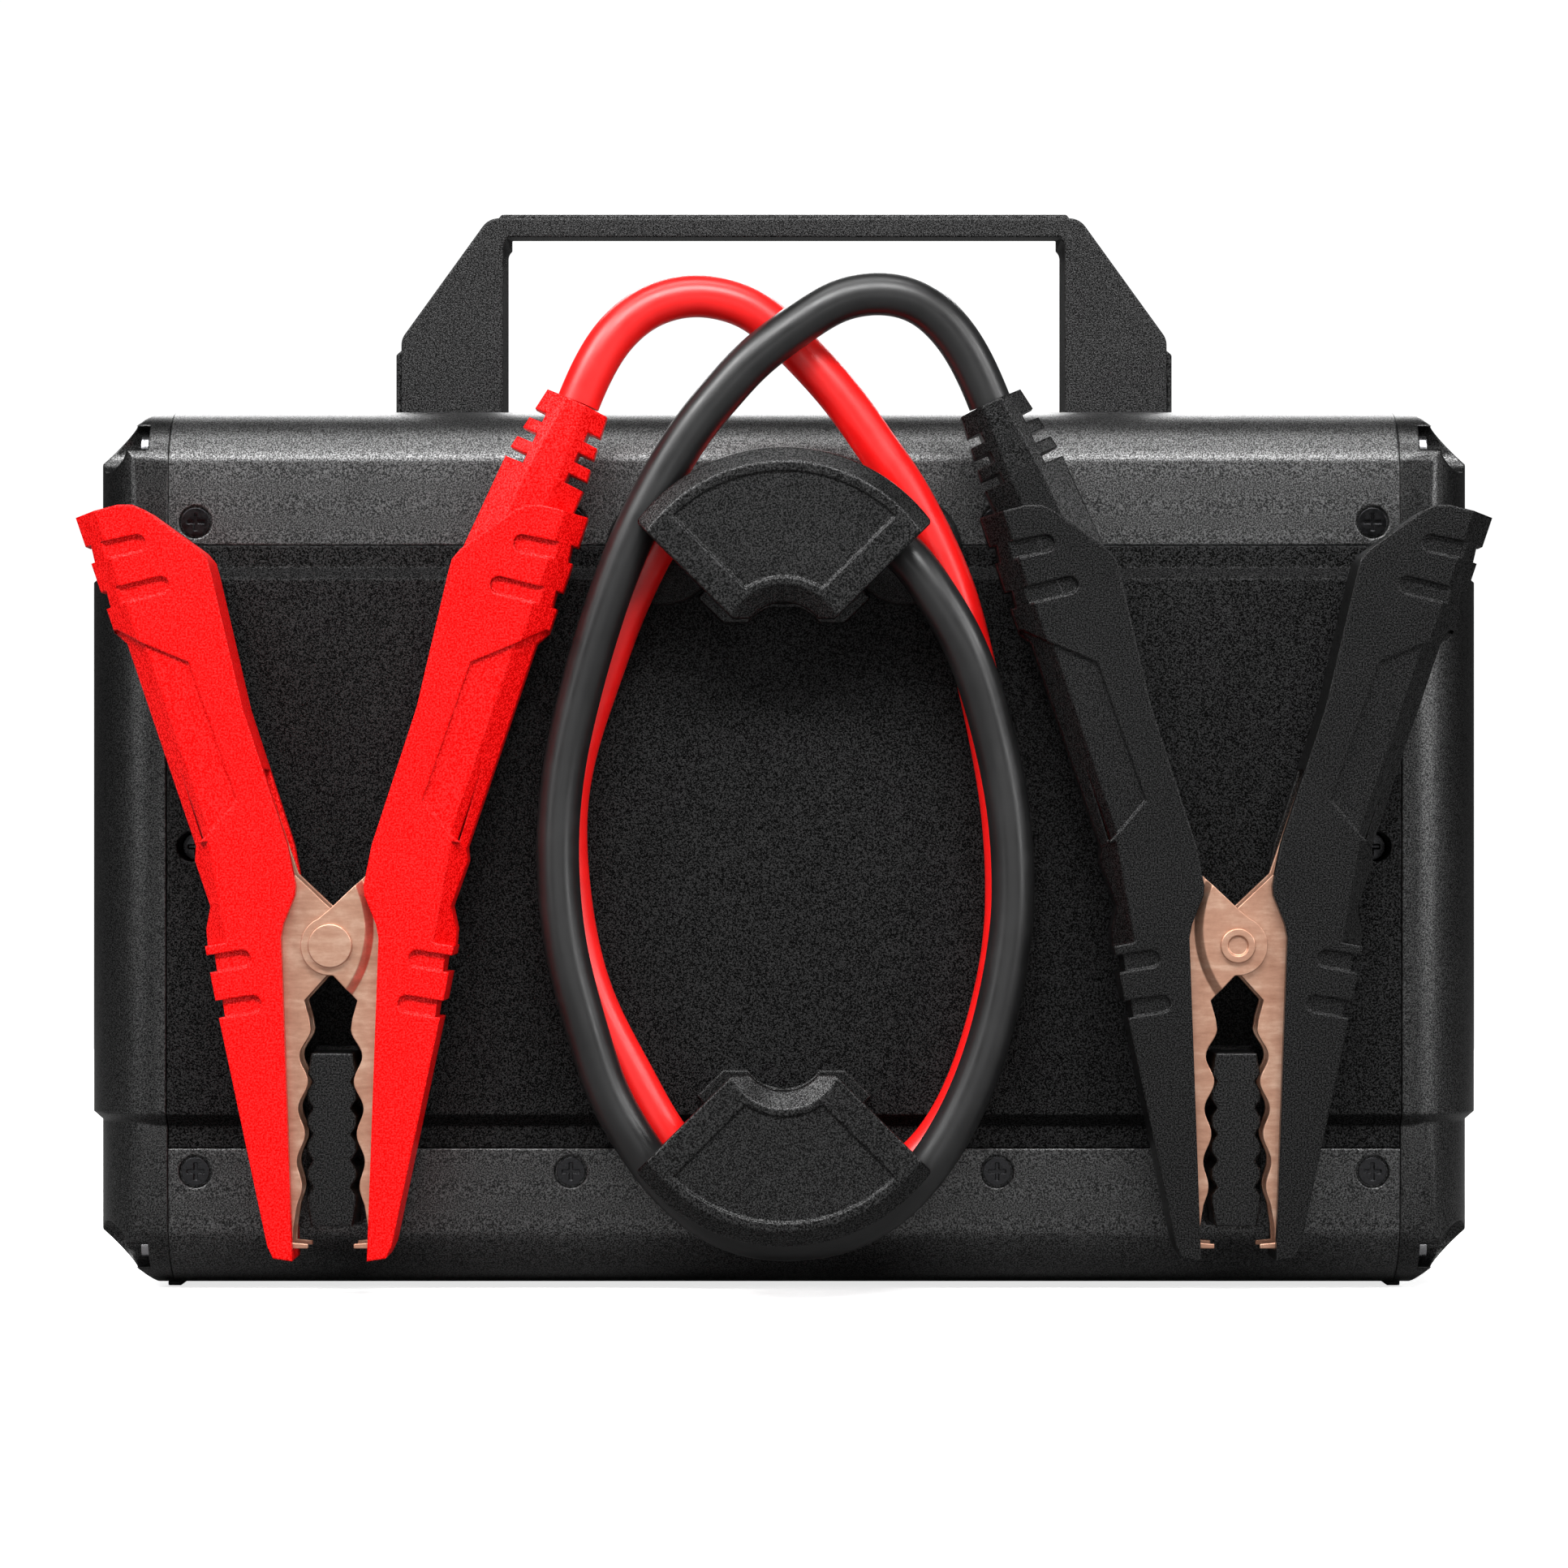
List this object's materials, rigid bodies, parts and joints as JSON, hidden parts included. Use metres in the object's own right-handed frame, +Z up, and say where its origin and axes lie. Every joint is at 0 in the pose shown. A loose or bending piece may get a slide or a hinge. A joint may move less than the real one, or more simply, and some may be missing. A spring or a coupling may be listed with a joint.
{
  "type": "jump starter pack",
  "caption": "Portable jump starter pack with a carrying handle, stowed red and black clamps on cables wound round rear holders, and a control panel.",
  "frame": {"origin": "centre of the pack's footprint on the surface it stands on, the footprint being the pack's box without its cables", "axes": "+X to the right and +Z up, seen by someone facing the cable storage side, which faces -Y; the control panel faces +Y"},
  "size_m": [0.3454, 0.16, 0.2731],
  "materials": {
    "shell_black": "fine-grained charcoal moulding",
    "soft_rubber": "matt black rubber",
    "red_plastic": "fine-grained saturated red insulating plastic",
    "black_plastic": "fine-grained black insulating plastic",
    "red_cable_jacket": "glossy red cable jacket",
    "black_cable_jacket": "glossy black cable jacket",
    "copper_plate": "satin copper plating with brushed wear",
    "dark_screw_steel": "blackened steel",
    "bright_steel": "zinc-plated steel",
    "cell_sleeve": "blue shrink sleeve",
    "inner_plastic": "dark moulded plastic",
    "circuit_board": "coated circuit board",
    "dark_window": "smoked display window",
    "clear_lens": "clear ribbed lens"
  },
  "bodies": {
    "root": {"top_shell": "shell_black", "bottom_shell": "shell_black", "rear_cover": "shell_black", "control_panel": "shell_black", "left_end_cap": "shell_black", "right_end_cap": "shell_black", "end_cap_screws": "bright_steel", "shell_screws": "dark_screw_steel", "cover_screws": "dark_screw_steel", "foot_rails": "soft_rubber", "handle_frame": "shell_black", "handle_grip": "soft_rubber", "handle_side_plates": "shell_black", "handle_screws": "dark_screw_steel", "upper_holder_neck": "shell_black", "upper_holder_cap": "shell_black", "lower_holder_neck": "shell_black", "lower_holder_cap": "shell_black", "left_clamp_post": "shell_black", "right_clamp_post": "shell_black", "red_cable_gland": "soft_rubber", "black_cable_gland": "soft_rubber", "red_cable": "red_cable_jacket", "black_cable": "black_cable_jacket", "red_fixed_cover": "red_plastic", "red_fixed_jaw": "copper_plate", "red_rivet": "copper_plate", "red_spring": "bright_steel", "red_boot": "red_plastic", "black_fixed_cover": "black_plastic", "black_fixed_jaw": "copper_plate", "black_rivet": "copper_plate", "black_spring": "bright_steel", "black_boot": "black_plastic", "battery_cells": "cell_sleeve", "cell_tray": "inner_plastic", "cell_clamp_bar": "bright_steel", "bus_bars": "copper_plate", "power_board": "circuit_board", "boost_relay": "inner_plastic", "display_window": "dark_window", "display_board": "circuit_board", "usb_ports": "bright_steel", "charge_jack": "inner_plastic", "accessory_socket": "inner_plastic", "port_door_pin": "bright_steel", "light_lens": "clear_lens", "light_board": "circuit_board"},
    "red_clamp_arm": {"red_moving_cover": "red_plastic", "red_moving_jaw": "copper_plate"},
    "black_clamp_arm": {"black_moving_cover": "black_plastic", "black_moving_jaw": "copper_plate"},
    "power_key": {"power_button": "soft_rubber"},
    "boost_key": {"boost_button": "red_plastic"},
    "ports_lid": {"port_door": "soft_rubber"}
  },
  "joints": [
    {"name": "red_clamp_hinge", "type": "hinge", "parent": "root", "child": "red_clamp_arm", "pos_m": [-0.1095, -0.0645, 0.0863], "axis": [0, 1, 0], "range_deg": [0, 25], "stiffness_Nm_per_rad": 2, "springref_deg": -20.05, "deforming": ["red_spring"]},
    {"name": "black_clamp_hinge", "type": "hinge", "parent": "root", "child": "black_clamp_arm", "pos_m": [0.1095, -0.0645, 0.0863], "axis": [0, -1, 0], "range_deg": [0, 25], "stiffness_Nm_per_rad": 2, "springref_deg": -20.05, "deforming": ["black_spring"]},
    {"name": "power_button_press", "type": "slide", "parent": "root", "child": "power_key", "axis": [0, -1, 0], "range_m": [0, 0.0012], "stiffness_N_per_m": 800, "springref_m": -0.0005},
    {"name": "boost_button_press", "type": "slide", "parent": "root", "child": "boost_key", "axis": [0, -1, 0], "range_m": [0, 0.0012], "stiffness_N_per_m": 800, "springref_m": -0.0005},
    {"name": "port_door_hinge", "type": "hinge", "parent": "root", "child": "ports_lid", "pos_m": [0.074, 0.0756, 0.1036], "axis": [1, 0, 0], "range_deg": [0, 100]}
  ]
}
